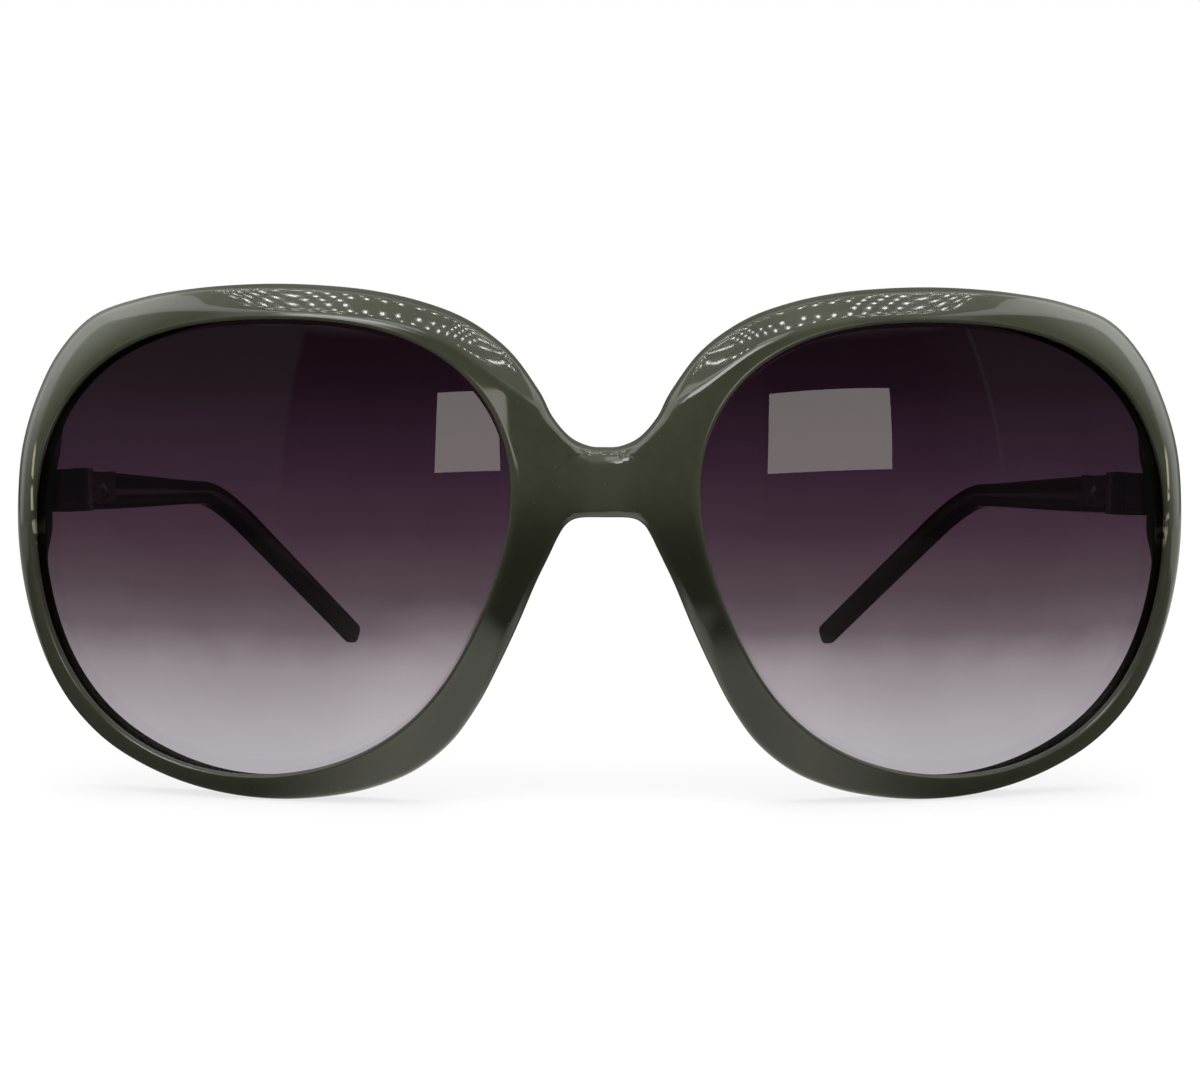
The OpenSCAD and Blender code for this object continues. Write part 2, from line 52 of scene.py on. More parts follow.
# Sizes of the front, as in the CAD source
LENS_W, LENS_H = 60.0, 56.2
LENS_RADIUS, LENS_T = 88.8, 2.0
WRAP_ANGLE = 10.0
BRIDGE_GAP, BRIDGE_H, BRIDGE_RISE, BRIDGE_BLEND = 22.4, 8.4, 12.65, 5.0
RIM_TOP_W, RIM_BOTTOM_W, RIM_OUTER_W, RIM_INNER_W = 4.4, 3.1, 3.2, 4.6
RIM_T, RIM_OUTER_T, END_PIECE_T = 4.4, 5.4, 5.8
FRONT_LIP, GROOVE_DEPTH, LENS_CLEARANCE = 1.2, 0.9, 0.05
FRONT_EDGE_R, BACK_EDGE_R, LENS_CHAMFER = 1.0, 0.7, 0.35
FACET_W, FACET_BRIDGE_W, FACET_NECK_W, FACET_ANGLE = 3.6, 1.9, 0.5, 30.0
CROWN_W, CROWN_ANGLE = 2.3, 12.0
NOSE_REST_T, NOSE_REST_HALF_H, NOSE_REST_LEAN = 2.2, 7.0, 1.2
KNUCKLE_R, HINGE_H, HINGE_GAP, LEAF_T, TEMPLE_LEAF_L, TEMPLE_LEAF_H = 1.6, 5.4, 0.3, 1.0, 9.0, 4.0
TEMPLE_STRAIGHT, TEMPLE_DROP_RUN, TEMPLE_TIP_IN, TEMPLE_SLOPE, TEMPLE_BEND_L = 84.0, 47.0, 18.0, 2.9, 12.0
TEMPLE_H, TEMPLE_BEND_H, TEMPLE_TIP_H = 5.2, 3.9, 4.2
TEMPLE_T, TEMPLE_MID_T, TEMPLE_TIP_T = 5.8, 3.6, 2.8
BUTT_GAP, OVERRUN = 0.2, 0.5

# Where forms sit, start and end, as shares of those sizes
HINGE_RISE_SHARE, NOSE_REST_DROP_SHARE, HINGE_INSET_SHARE, SLOPE_FADE_SHARE = 0.23, 0.33, 4.1, 0.8
NECK_FADE_SHARES, BROW_FADE_SHARES, CROWN_FADE_SHARES = (0.15, 0.5), (0.4, 1.35), (-0.15, 0.5)
END_ASIDE_SHARES, LEDGE_FADE_SHARES = (0.62, 0.84), (-0.1, 0.6)
NOSE_ASIDE_SHARES, NOSE_HEIGHT_SHARES = (1.4, 2), (0.4, 1.4)
END_FLAT_SHARE, END_FADE_SHARE, END_DRAFT_SHARE, LENS_LEDGE_SHARE = 0.78, 0.9, 0.6, 0.3
FACET_SOFT_SHARE, FACET_BOW_SHARE, FACET_BOW_MIDDLE_SHARE = 0.4, 0.2, 0.5
RIDGE_ROOM_SHARE, RIDGE_LEAST_SHARE = 1.25, 1.6
GROOVE_WALL_SHARE, LIP_SHARE, LIP_MOST_SHARE, LEDGE_STEP_SHARE = 0.7, 0.4, 0.5, 0.45
LEAF_SINK_SHARE = 0.2

HALF_W, HALF_H, HALF_GAP = LENS_W / 2, LENS_H / 2, BRIDGE_GAP / 2
LENS_X = HALF_GAP + HALF_W
LENS_Z = RIM_BOTTOM_W + HALF_H
BRIDGE_TOP_Z = LENS_Z + BRIDGE_RISE
BRIDGE_LOW_Z = BRIDGE_TOP_Z - BRIDGE_H
RIM_RADIUS = LENS_RADIUS + FRONT_LIP
WRAP_X = LENS_X - RIM_RADIUS * math.sin(math.radians(WRAP_ANGLE))

LENS_MEAN_SHARE = 1.013
LENS_WAVE_SHARES = [(1, 0.027, 0.036), (2, -0.005, -0.035), (3, -0.005, 0.036), (4, -0.024, -0.005)]
BRIDGE_TOP_SHARES = [(0, 0, 163), (0.18, 0.02, 160.5), (0.385, 0.155, 157.5), (0.575, 0.45, 153.5)]
BRIDGE_LOW_SHARES = [(0.61, -0.57, 182), (0.5, -0.265, 178), (0.41, -0.093, 174.5), (0.28, -0.008, 171),
                     (0, 0, 168)]
RIM_SHARES = [
    (-0.957, 0.602), (-0.85, 0.753), (-0.702, 0.867), (-0.538, 0.934), (-0.37, 0.973),
    (-0.208, 0.992), (-0.046, 1), (0.12, 0.996), (0.301, 0.981), (0.5, 0.95),
    (0.698, 0.885), (0.8385, 0.745), (0.928, 0.568), (0.982, 0.386), (1, 0.201),
    (1, 0.022), (0.98, -0.16), (0.94, -0.337), (0.877, -0.51), (0.783, -0.667),
    (0.654, -0.798), (0.497, -0.891), (0.331, -0.954), (0.157, -0.99), (-0.02, -1),
    (-0.188, -0.985), (-0.355, -0.946), (-0.514, -0.872), (-0.647, -0.753),
    (-0.746, -0.599), (-0.821, -0.439), (-0.887, -0.282), (-0.948, -0.122),
]
BROW_STATIONS = 20
CURVE_STEPS = 6
RIM_TURN = 170


def smooth01(a, b, v):
    q = np.clip((v - a) / (b - a), 0, 1)
    return q * q * (3 - 2 * q)


def fade(start, size, shares, v):
    """0 to 1 as v goes from one share of size past start to the next."""
    return smooth01(start + shares[0] * size, start + shares[1] * size, v)


def opening(t):
    """Point [x, z] of the lens opening at an angle in degrees."""
    t = np.radians(np.asarray(t, float))
    share = LENS_MEAN_SHARE + sum(c * np.cos(n * t) + s * np.sin(n * t) for n, c, s in LENS_WAVE_SHARES)
    return np.stack([LENS_X + HALF_W * share * np.cos(t), LENS_Z + HALF_H * share * np.sin(t)], -1)


def rim_station(p):
    a = math.degrees(math.atan2(p[1], p[0])) % 360
    return (LENS_X + p[0] * (HALF_W + (RIM_OUTER_W if p[0] > 0 else RIM_INNER_W)),
            LENS_Z + p[1] * (HALF_H + (RIM_TOP_W if p[1] > 0 else RIM_BOTTOM_W)),
            a - 360 if a > RIM_TURN else a)


stations = np.array(
    [(HALF_GAP * x, BRIDGE_TOP_Z + BRIDGE_H * z, a) for x, z, a in BRIDGE_TOP_SHARES]
    + [rim_station(p) for p in RIM_SHARES]
    + [(HALF_GAP * x, BRIDGE_LOW_Z + BRIDGE_H * z, a - 360) for x, z, a in BRIDGE_LOW_SHARES])


def flipped(s, about):
    return np.array([-s[0], s[1], 2 * about[2] - s[2]])


padded = np.vstack([flipped(stations[1], stations[0]), stations, flipped(stations[-2], stations[-1])])
rim_path = []
for i in range(len(stations) - 1):
    a, b, c, d = padded[i:i + 4]
    for j in range(CURVE_STEPS):
        q = j / CURVE_STEPS
        rim_path.append(0.5 * (2 * b + (c - a) * q + (2 * a - 5 * b + 4 * c - d) * q * q
                               + (3 * b - a - 3 * c + d) * q ** 3))
rim_path.append(stations[-1])
rim_path = np.array(rim_path)
rim_count = len(rim_path)
brow_path = rim_path[:(len(BRIDGE_TOP_SHARES) + BROW_STATIONS) * CURVE_STEPS + 1]


def path_dist(p, path):
    """Distance of points [x, z] from a broken line of [x, z] points."""
    a, b = path[:-1, :2], path[1:, :2]
    d = b - a
    w = p[:, None, :] - a[None]
    q = np.clip((w * d).sum(-1) / np.maximum((d * d).sum(-1), 1e-12), 0, 1)
    return np.linalg.norm(w - q[..., None] * d[None], axis=-1).min(1)


def edge_drop(d, r):
    k = np.clip(r - d, 0, r)
    return r - np.sqrt(np.maximum(0, r * r - k * k))


def face_y(x, z):
    a, b = np.sqrt(x * x + BRIDGE_BLEND ** 2) - WRAP_X, z - LENS_Z
    return RIM_RADIUS - np.sqrt(RIM_RADIUS ** 2 - a * a - b * b)


def lens_y(x, z, r):
    return RIM_RADIUS - np.sqrt(r * r - (x - WRAP_X) ** 2 - (z - LENS_Z) ** 2)


def outer_share(x):
    return fade(LENS_X, HALF_W, CROWN_FADE_SHARES, x)


def facet_width(x):
    at_bridge = 1 - fade(0, HALF_GAP, NECK_FADE_SHARES, x)
    past_neck = fade(0, HALF_GAP, BROW_FADE_SHARES, x)
    return (FACET_NECK_W + (FACET_BRIDGE_W - FACET_NECK_W) * at_bridge
            + (FACET_W - FACET_NECK_W) * past_neck - (FACET_W - CROWN_W) * outer_share(x))


def facet_slope(p):
    brow, crown = math.tan(math.radians(FACET_ANGLE)), math.tan(math.radians(CROWN_ANGLE))
    upper = smooth01(LENS_Z - SLOPE_FADE_SHARE * HALF_H, LENS_Z, p[:, 1])
    return (brow + (crown - brow) * outer_share(p[:, 0])) * upper


FACET_SOFT = FRONT_EDGE_R * FACET_SOFT_SHARE


def facet_drop(d, p):
    t = facet_width(p[:, 0]) - d
    soft = (t + FACET_SOFT) ** 2 / (4 * FACET_SOFT)
    run = np.where(t < -FACET_SOFT, 0, np.where(t > FACET_SOFT, t, soft))
    return facet_slope(p) * run * (1 + FACET_BOW_SHARE * (run / FACET_W - FACET_BOW_MIDDLE_SHARE))


def front_y(p):
    return (face_y(p[:, 0], p[:, 1]) + edge_drop(path_dist(p, rim_path), FRONT_EDGE_R)
            + facet_drop(path_dist(p, brow_path), p))


HINGE_Z = LENS_Z + HINGE_RISE_SHARE * HALF_H
END_FLAT, END_FADE = END_FLAT_SHARE * HINGE_H, END_FADE_SHARE * HINGE_H
END_PIECE_Y = float(face_y(LENS_X + HALF_W + RIM_OUTER_W, HINGE_Z)) + END_PIECE_T
LENS_LEDGE, END_DRAFT = RIM_OUTER_W * LENS_LEDGE_SHARE, RIM_OUTER_W * END_DRAFT_SHARE
NOSE_REST_Z = LENS_Z - NOSE_REST_DROP_SHARE * HALF_H


def end_share(x, z):
    return (fade(LENS_X, HALF_W, END_ASIDE_SHARES, x)
            * (1 - smooth01(END_FLAT, END_FLAT + END_FADE, abs(z - HINGE_Z))))


def nose_share(x, z):
    return ((1 - fade(0, HALF_GAP, NOSE_ASIDE_SHARES, x))
            * (1 - fade(0, NOSE_REST_HALF_H, NOSE_HEIGHT_SHARES, abs(z - NOSE_REST_Z))))


def back_y(p):
    x, z = p[:, 0], p[:, 1]
    plain = (face_y(x, z) + RIM_T + (RIM_OUTER_T - RIM_T) * smooth01(LENS_X, LENS_X + HALF_W, x)
             + NOSE_REST_T * nose_share(x, z))
    e = end_share(x, z)
    return plain * (1 - e) + END_PIECE_Y * e


# The whole model stands centred on its origin, so its depth is shifted as in the CAD source
cad_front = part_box("front_frame")
SHIFT_Y = cad_front[1].y / MM - END_PIECE_Y

# Spokes from the lens opening to the outline, then to the middle plane
CUT_COUNT = 24
cut_q = np.arange(1, CUT_COUNT + 1) / (CUT_COUNT + 1)
cut_z = BRIDGE_LOW_Z + BRIDGE_H * (0.5 - 0.5 * np.cos(np.pi * cut_q))
low_angle, top_angle = stations[-1][2], stations[0][2] - 360
spoke_in = np.vstack([opening(rim_path[:, 2]), opening(low_angle + (top_angle - low_angle) * cut_q)])
spoke_out = np.vstack([rim_path[:, :2], np.stack([np.zeros(CUT_COUNT), cut_z], -1)])
spoke_count = len(spoke_in)
spoke_w = np.linalg.norm(spoke_out - spoke_in, axis=1)
spoke_n = (spoke_out - spoke_in) / spoke_w[:, None]
is_cut = np.arange(spoke_count) >= rim_count
ledge = LENS_LEDGE * fade(LENS_X, HALF_W, LEDGE_FADE_SHARES, spoke_in[:, 0])
draft = np.where(is_cut, 0, END_DRAFT * end_share(spoke_out[:, 0], spoke_out[:, 1])
                 + NOSE_REST_LEAN * nose_share(spoke_out[:, 0], spoke_out[:, 1]))
ridge = np.minimum(spoke_w - LENS_CHAMFER - RIDGE_ROOM_SHARE * FACET_SOFT,
                   np.maximum(facet_width(spoke_out[:, 0]), RIDGE_LEAST_SHARE * FRONT_EDGE_R))


def along(s):
    return spoke_in + spoke_n * np.asarray(s)[:, None]


def layer(s, y):
    p = along(s)
    return np.stack([p[:, 0], y, p[:, 1]], -1)


def front_layer(s):
    return layer(s, front_y(along(s)))


def back_layer(s):
    p = along(s)
    return layer(s, back_y(p) - edge_drop(path_dist(p, rim_path) - draft, BACK_EDGE_R))


none = np.zeros(spoke_count)
seat_front = lens_y(spoke_in[:, 0], spoke_in[:, 1], LENS_RADIUS) - LENS_CLEARANCE
seat_back = lens_y(spoke_in[:, 0], spoke_in[:, 1], LENS_RADIUS - LENS_T) + LENS_CLEARANCE
groove = none + GROOVE_DEPTH + LENS_CLEARANCE
groove_p = along(groove)
groove_front = lens_y(groove_p[:, 0], groove_p[:, 1], LENS_RADIUS) - LENS_CLEARANCE
groove_back = lens_y(groove_p[:, 0], groove_p[:, 1], LENS_RADIUS - LENS_T) + LENS_CLEARANCE
wall = LENS_CHAMFER * GROOVE_WALL_SHARE
low_s = wall - ledge
low_back = back_y(along(low_s)) - LENS_CHAMFER
lip_y = seat_back + np.minimum(LIP_SHARE * LENS_T, LIP_MOST_SHARE * (low_back - seat_back))

# Steps of each spoke's section: angles round an edge, and shares of the width between two edges
CHAMFER_ANGLES = (0, 30, 60, 90)
FRONT_EDGE_ANGLES = (15, 30, 45, 60, 75, 84, 90)
BACK_EDGE_ANGLES = (90, 72, 54, 36, 18, 0)
FLAT_STEP_SHARES = (0.12, 0.25, 0.38, 0.5, 0.62, 0.74, 0.86, 1)
RIDGE_STEP_SHARES = (0.33, 0.67, 1, 1.33, 1.67, 2)
HALF_STEP_SHARES, THIRD_STEP_SHARES = (0.5, 1), (0.33, 0.67, 1)
LEAST_REST = 0.02

layers = [layer(none, seat_front)]
open_front = front_y(along(none + LENS_CHAMFER))
for a in CHAMFER_ANGLES:
    turn = math.radians(a)
    layers.append(layer(none + LENS_CHAMFER * (1 - math.cos(turn)),
                        open_front + LENS_CHAMFER * (1 - math.sin(turn))))
flat = spoke_w - ridge - LENS_CHAMFER - FACET_SOFT
for q in FLAT_STEP_SHARES:
    layers.append(front_layer(LENS_CHAMFER + flat * q))
for q in RIDGE_STEP_SHARES:
    layers.append(front_layer(spoke_w - ridge - FACET_SOFT * (1 - q)))
rest = np.maximum(ridge - FACET_SOFT - FRONT_EDGE_R, LEAST_REST)
for q in HALF_STEP_SHARES:
    layers.append(front_layer(spoke_w - FRONT_EDGE_R - rest * (1 - q)))
for a in FRONT_EDGE_ANGLES:
    layers.append(front_layer(spoke_w - FRONT_EDGE_R * (1 - math.sin(math.radians(a)))))
wall_first = len(layers) - 1
side_front = layers[-1][:, 1]
side_back = back_layer(spoke_w - draft)[:, 1]
for q in THIRD_STEP_SHARES[:2]:
    layers.append(layer(spoke_w - draft * q, side_front + (side_back - side_front) * q))
for a in BACK_EDGE_ANGLES:
    layers.append(back_layer(spoke_w - draft - BACK_EDGE_R * (1 - math.sin(math.radians(a)))))
wall_last = wall_first + 3
back_start, back_end = spoke_w - draft - BACK_EDGE_R, wall - ledge + LENS_CHAMFER
for q in THIRD_STEP_SHARES:
    layers.append(back_layer(back_start + (back_end - back_start) * q))
for a in CHAMFER_ANGLES[1:]:
    turn = math.radians(a)
    s = low_s + LENS_CHAMFER * (1 - math.sin(turn))
    layers.append(layer(s, low_back + LENS_CHAMFER * math.cos(turn)))
layers.append(layer(low_s, lip_y + LEDGE_STEP_SHARE * (low_back - lip_y)))
layers.append(layer(none + wall, lip_y))
layers.append(layer(none + wall, seat_back))
layers.append(layer(groove, groove_back))
layers.append(layer(groove, groove_front))
grid = np.stack(layers, 1)
ring_count = grid.shape[1]


CREASE_ANGLE, FRONT_CREASE_ANGLE = 40, 35


def make_object(name, points, faces, body, replaced, angle=CREASE_ANGLE):
    """Mesh object from points in millimetres, smooth shaded with creases sharper than angle."""
    mesh = bpy.data.meshes.new(name)
    mesh.from_pydata([tuple(v) for v in np.asarray(points) * MM], [], faces)
    mesh.validate()
    obj = bpy.data.objects.new(name, mesh)
    bpy.context.scene.collection.objects.link(obj)
    mesh.shade_smooth()
    mesh.set_sharp_from_angle(angle=math.radians(angle))
    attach(obj, body)
    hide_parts(replaced)
    return obj


def front_mesh():
    """Both halves, joined on the middle plane."""
    right = grid + np.array([0, SHIFT_Y, 0])
    half = spoke_count * ring_count
    points = np.vstack([right.reshape(-1, 3), right.reshape(-1, 3) * [-1, 1, 1]])
    on_plane = is_cut.copy()
    on_plane[0] = on_plane[rim_count - 1] = True
    index = np.arange(2 * half)
    for k in np.where(on_plane)[0]:
        for i in range(wall_first, wall_last + 1):
            points[k * ring_count + i, 0] = 0
            index[half + k * ring_count + i] = k * ring_count + i
    faces = []
    for side in (0, 1):
        for k in range(spoke_count):
            k2 = (k + 1) % spoke_count
            for i in range(ring_count):
                if on_plane[k] and on_plane[k2] and wall_first <= i < wall_last:
                    continue
                i2 = (i + 1) % ring_count
                quad = [index[side * half + m] for m in (k * ring_count + i, k * ring_count + i2,
                                                         k2 * ring_count + i2, k2 * ring_count + i)]
                faces.append([int(v) for v in (quad if side == 0 else quad[::-1])])
    used = sorted({v for f in faces for v in f})
    place = {v: n for n, v in enumerate(used)}
    return points[used], [[place[v] for v in f] for f in faces]


front_points, front_faces = front_mesh()
front = make_object("front", front_points, front_faces, "front", "front_frame",
                    FRONT_CREASE_ANGLE)

# Shares for the plastic's painted light: how near a front edge a point is, for light along the thin edges,
# and how far from the opening, for light at the outer rims
EDGE_REACH, EDGE_DEPTH, OUTLINE_EDGE_SHARE = 0.35, 3.0, 0.6
OUTER_FROM, OUTER_WIDTH = 0.8, 2.8
opening_path = opening(np.arange(0, 361, 3))
flat_points = np.stack([np.abs(front_points[:, 0]), front_points[:, 2]], -1)
from_face = front_points[:, 1] - SHIFT_Y - face_y(flat_points[:, 0], flat_points[:, 1])
from_outline, from_opening = path_dist(flat_points, rim_path), path_dist(flat_points, opening_path)
near_edge = np.maximum(np.exp(-from_outline / EDGE_REACH) * OUTLINE_EDGE_SHARE,
                       np.exp(-from_opening / EDGE_REACH))
for name, share in (("edge_light", np.clip(1 - from_face / EDGE_DEPTH, 0, 1) * near_edge),
                    ("outer", (from_opening - OUTER_FROM) / OUTER_WIDTH)):
    front.data.attributes.new(name, "FLOAT", "POINT").data.foreach_set("value", np.clip(share, 0, 1))

# Lenses: rings from the middle of the lens out to the groove
LENS_RINGS, LENS_STEPS = 26, 144


def lens_mesh(side):
    t = np.arange(LENS_STEPS) * 360 / LENS_STEPS
    edge = opening(t)
    mid = np.array([LENS_X, LENS_Z])
    away = edge - mid
    edge = edge + away / np.linalg.norm(away, axis=1)[:, None] * GROOVE_DEPTH
    points, faces = [], []
    for r in (LENS_RADIUS, LENS_RADIUS - LENS_T):
        points.append([[mid[0], float(lens_y(mid[0], mid[1], r)), mid[1]]])
        for q in np.linspace(0, 1, LENS_RINGS + 1)[1:]:
            p = mid + (edge - mid) * q
            points.append(np.stack([p[:, 0], lens_y(p[:, 0], p[:, 1], r), p[:, 1]], -1))
    points = np.vstack(points) + np.array([0, SHIFT_Y, 0])
    back = 1 + LENS_RINGS * LENS_STEPS
    for j in range(LENS_STEPS):
        j2 = (j + 1) % LENS_STEPS
        faces.append([0, 1 + j2, 1 + j][::-1])
        faces.append([back, back + 1 + j, back + 1 + j2][::-1])
        for k in range(LENS_RINGS - 1):
            a, b = 1 + k * LENS_STEPS, 1 + (k + 1) * LENS_STEPS
            faces.append([a + j, b + j, b + j2, a + j2])
            faces.append([back + a + j2, back + b + j2, back + b + j, back + a + j])
        a = 1 + (LENS_RINGS - 1) * LENS_STEPS
        faces.append([a + j, back + a + j, back + a + j2, a + j2])
    if side > 0:
        return points, faces
    return points * [-1, 1, 1], [f[::-1] for f in faces]


lenses = {}
for label, side in SIDES.items():
    lens_points, lens_faces = lens_mesh(side)
    lenses[label] = make_object(label + "_tinted_lens", lens_points, lens_faces, "front", label + "_lens")

# Temples: rounded sections swept from the hinge to the tip, then cut for the hinge
HINGE_X = LENS_X + HALF_W + RIM_OUTER_W - HINGE_INSET_SHARE * KNUCKLE_R
HINGE_Y = END_PIECE_Y + KNUCKLE_R + HINGE_GAP
TEMPLE_INNER_X = HINGE_X - KNUCKLE_R + LEAF_SINK_SHARE * LEAF_T
TEMPLE_LEAF_Y = HINGE_Y + KNUCKLE_R + 2 * HINGE_GAP
TEMPLE_START_Y = END_PIECE_Y + BUTT_GAP
SLOPE = math.tan(math.radians(TEMPLE_SLOPE))
TIP_R = TEMPLE_TIP_H / 2
TEMPLE_LEAD = 2 * OVERRUN
STRAIGHT_STEPS, BEND_STEPS, DROP_STEPS, TIP_TURNS, TIP_END_SHARE = 30, 16, 14, range(0, 90, 9), 0.995


def unit(v):
    return v / np.linalg.norm(v)


bend_y = TEMPLE_START_Y + TEMPLE_STRAIGHT
start_point = np.array([TEMPLE_INNER_X, TEMPLE_START_Y - TEMPLE_LEAD, HINGE_Z + TEMPLE_LEAD * SLOPE])
bend_point = np.array([TEMPLE_INNER_X, bend_y, HINGE_Z - TEMPLE_STRAIGHT * SLOPE])
tip_middle = np.array([TEMPLE_INNER_X - TEMPLE_TIP_IN, bend_y + TEMPLE_DROP_RUN - TIP_R, TIP_R])
tip_way = unit(tip_middle - bend_point)
bend_start = bend_point - unit(bend_point - start_point) * TEMPLE_BEND_L
bend_finish = bend_point + unit(tip_middle - bend_point) * TEMPLE_BEND_L


def mix(a, b, q):
    return a + (b - a) * q


def bend_at(q):
    return mix(mix(bend_start, bend_point, q), mix(bend_point, bend_finish, q), q)


temple_path = np.array(
    [mix(start_point, bend_start, q) for q in np.linspace(0, 1, STRAIGHT_STEPS + 1)[:-1]]
    + [bend_at(q) for q in np.linspace(0, 1, BEND_STEPS + 1)]
    + [mix(bend_finish, tip_middle, q) for q in np.linspace(0, 1, DROP_STEPS + 1)[1:-1]]
    + [tip_middle + math.sin(math.radians(a)) * TIP_R * tip_way for a in TIP_TURNS]
    + [tip_middle + TIP_END_SHARE * TIP_R * tip_way])
temple_along = np.concatenate([[0], np.cumsum(np.linalg.norm(np.diff(temple_path, axis=0), axis=1))])
temple_total = float(np.linalg.norm(tip_middle + TIP_R * tip_way - temple_path[-1])) + temple_along[-1]
bend_share = float(np.linalg.norm(bend_start - start_point)) / temple_total
TEMPLE_SIDES = 64
CORNER_SHARE = 0.5
THICK_SHARES, THIN_SHARES, HEIGHT_SHARES = (0.03, 0.3), (0.4, 1), (0.08, 1)
LEAST_TIP_SHARE = 0.0001


def temple_height(q):
    if q < bend_share:
        return mix(TEMPLE_H, TEMPLE_BEND_H, float(smooth01(*HEIGHT_SHARES, q / bend_share)))
    return mix(TEMPLE_BEND_H, TEMPLE_TIP_H, (q - bend_share) / (1 - bend_share))


def temple_thick(q):
    middle = mix(TEMPLE_T, TEMPLE_MID_T, float(smooth01(*THICK_SHARES, q)))
    return mix(middle, TEMPLE_TIP_T, float(smooth01(*THIN_SHARES, q)))


def squared(v):
    return np.sign(v) * np.abs(v) ** CORNER_SHARE


def temple_mesh():
    points, faces = [], []
    last = len(temple_path) - 1
    turn = np.radians(np.arange(TEMPLE_SIDES) * 360 / TEMPLE_SIDES)
    for i in range(last + 1):
        t = unit(temple_path[min(i + 1, last)] - temple_path[max(i - 1, 0)])
        u = unit(np.cross(t, [0, 0, 1]))
        v = np.cross(u, t)
        q, rest = temple_along[i] / temple_total, temple_total - temple_along[i]
        k = 1 if rest > TIP_R else math.sqrt(max(LEAST_TIP_SHARE, 1 - (1 - rest / TIP_R) ** 2))
        h, w = temple_height(q) * k / 2, temple_thick(q) / 2
        points.append(temple_path[i] + u * (w + w * k * squared(np.cos(turn)))[:, None]
                      + v * (h * squared(np.sin(turn)))[:, None])
    points = np.vstack(points) + np.array([0, SHIFT_Y, 0])
    for i in range(last):
        for j in range(TEMPLE_SIDES):
            j2 = (j + 1) % TEMPLE_SIDES
            a, b = i * TEMPLE_SIDES + j, i * TEMPLE_SIDES + j2
            faces.append([a, b, b + TEMPLE_SIDES, a + TEMPLE_SIDES])
    faces.append(list(range(TEMPLE_SIDES))[::-1])
    faces.append([last * TEMPLE_SIDES + j for j in range(TEMPLE_SIDES)])
    return points, faces


def box_mesh(low, high):
    (x0, y0, z0), (x1, y1, z1) = low, high
    points = [(x, y, z) for x in (x0, x1) for y in (y0, y1) for z in (z0, z1)]
    faces = [(0, 1, 3, 2), (4, 6, 7, 5), (0, 4, 5, 1), (2, 3, 7, 6), (0, 2, 6, 4), (1, 5, 7, 3)]
    return points, faces


def cut_away(obj, low, high):
    """Takes a box, given by two corners in millimetres, out of obj."""
    points, faces = box_mesh(low, high)
    mesh = bpy.data.meshes.new("cutter")
    mesh.from_pydata([tuple(np.array(p) * MM) for p in points], [], faces)
    cutter = bpy.data.objects.new("cutter", mesh)
    bpy.context.scene.collection.objects.link(cutter)
    step = obj.modifiers.new("cut", "BOOLEAN")
    step.operation = "DIFFERENCE"
    step.solver = "EXACT"
    step.object = cutter
    bpy.context.view_layer.update()
    made = bpy.data.meshes.new_from_object(obj.evaluated_get(bpy.context.evaluated_depsgraph_get()))
    obj.modifiers.remove(step)
    obj.data = made
    bpy.data.objects.remove(cutter)


FAR, CUT_MARGIN = 3 * TEMPLE_T, 0.01
TEMPLE_CUTS = [
    ((TEMPLE_INNER_X - FAR, TEMPLE_INNER_X + FAR), (TEMPLE_START_Y - FAR, TEMPLE_START_Y), FAR),
    ((TEMPLE_INNER_X - FAR, HINGE_X + KNUCKLE_R + HINGE_GAP), (END_PIECE_Y - FAR, TEMPLE_LEAF_Y), FAR),
    ((TEMPLE_INNER_X - CUT_MARGIN, TEMPLE_INNER_X + LEAF_T),
     (TEMPLE_LEAF_Y - OVERRUN, TEMPLE_LEAF_Y + TEMPLE_LEAF_L), TEMPLE_LEAF_H / 2),
]
temples = {}
for label, side in SIDES.items():
    temple_points, temple_faces = temple_mesh()
    if side < 0:
        temple_points = temple_points * [-1, 1, 1]
        temple_faces = [f[::-1] for f in temple_faces]
    temple = make_object(label + "_side_arm", temple_points, temple_faces, label + "_arm",
                         label + "_temple")
    for xs, ys, half_z in TEMPLE_CUTS:
        x0, x1 = sorted(side * v for v in xs)
        y0, y1 = (v + SHIFT_Y for v in ys)
        cut_away(temple, (x0, y0, HINGE_Z - half_z), (x1, y1, HINGE_Z + half_z))
    temple.data.shade_smooth()
    temple.data.set_sharp_from_angle(angle=math.radians(CREASE_ANGLE))
    temples[label] = temple


# Materials. A range below holds where a value starts and ends, then what it becomes there if not 0 and 1
class Value:
    """A shader node's output that takes part in sums, so that a formula reads as one."""

    def __init__(self, tree, socket):
        self.tree = tree
        self.socket = socket

    def math(self, operation, first, second=0.0, clamp=False):
        return output(self.tree, "Math", 0, {0: first, 1: second}, operation=operation, use_clamp=clamp)

    def changed(self, operation):
        return self.math(operation, self)

    def __add__(self, other):
        return self.math("ADD", self, other)

    def __radd__(self, other):
        return self.math("ADD", other, self)

    def __sub__(self, other):
        return self.math("SUBTRACT", self, other)

    def __rsub__(self, other):
        return self.math("SUBTRACT", other, self)

    def __mul__(self, other):
        return self.math("MULTIPLY", self, other)

    def __truediv__(self, other):
        return self.math("DIVIDE", self, other)

    def __gt__(self, other):
        return self.math("GREATER_THAN", self, other)

    def __lt__(self, other):
        return self.math("LESS_THAN", self, other)

    def __abs__(self):
        return self.changed("ABSOLUTE")


def feed(tree, into, value):
    """Links a node's output to an input, or sets the input's own value."""
    source = value.socket if isinstance(value, Value) else value
    if isinstance(source, bpy.types.NodeSocket):
        tree.links.new(source, into)
    else:
        into.default_value = source


def add(tree, kind, inputs=None, **settings):
    """A shader node. Each input takes a number, a colour or another node's output."""
    node = tree.nodes.new("ShaderNode" + kind)
    for key, value in settings.items():
        setattr(node, key, value)
    for key, value in (inputs or {}).items():
        feed(tree, node.inputs[key], value)
    return node


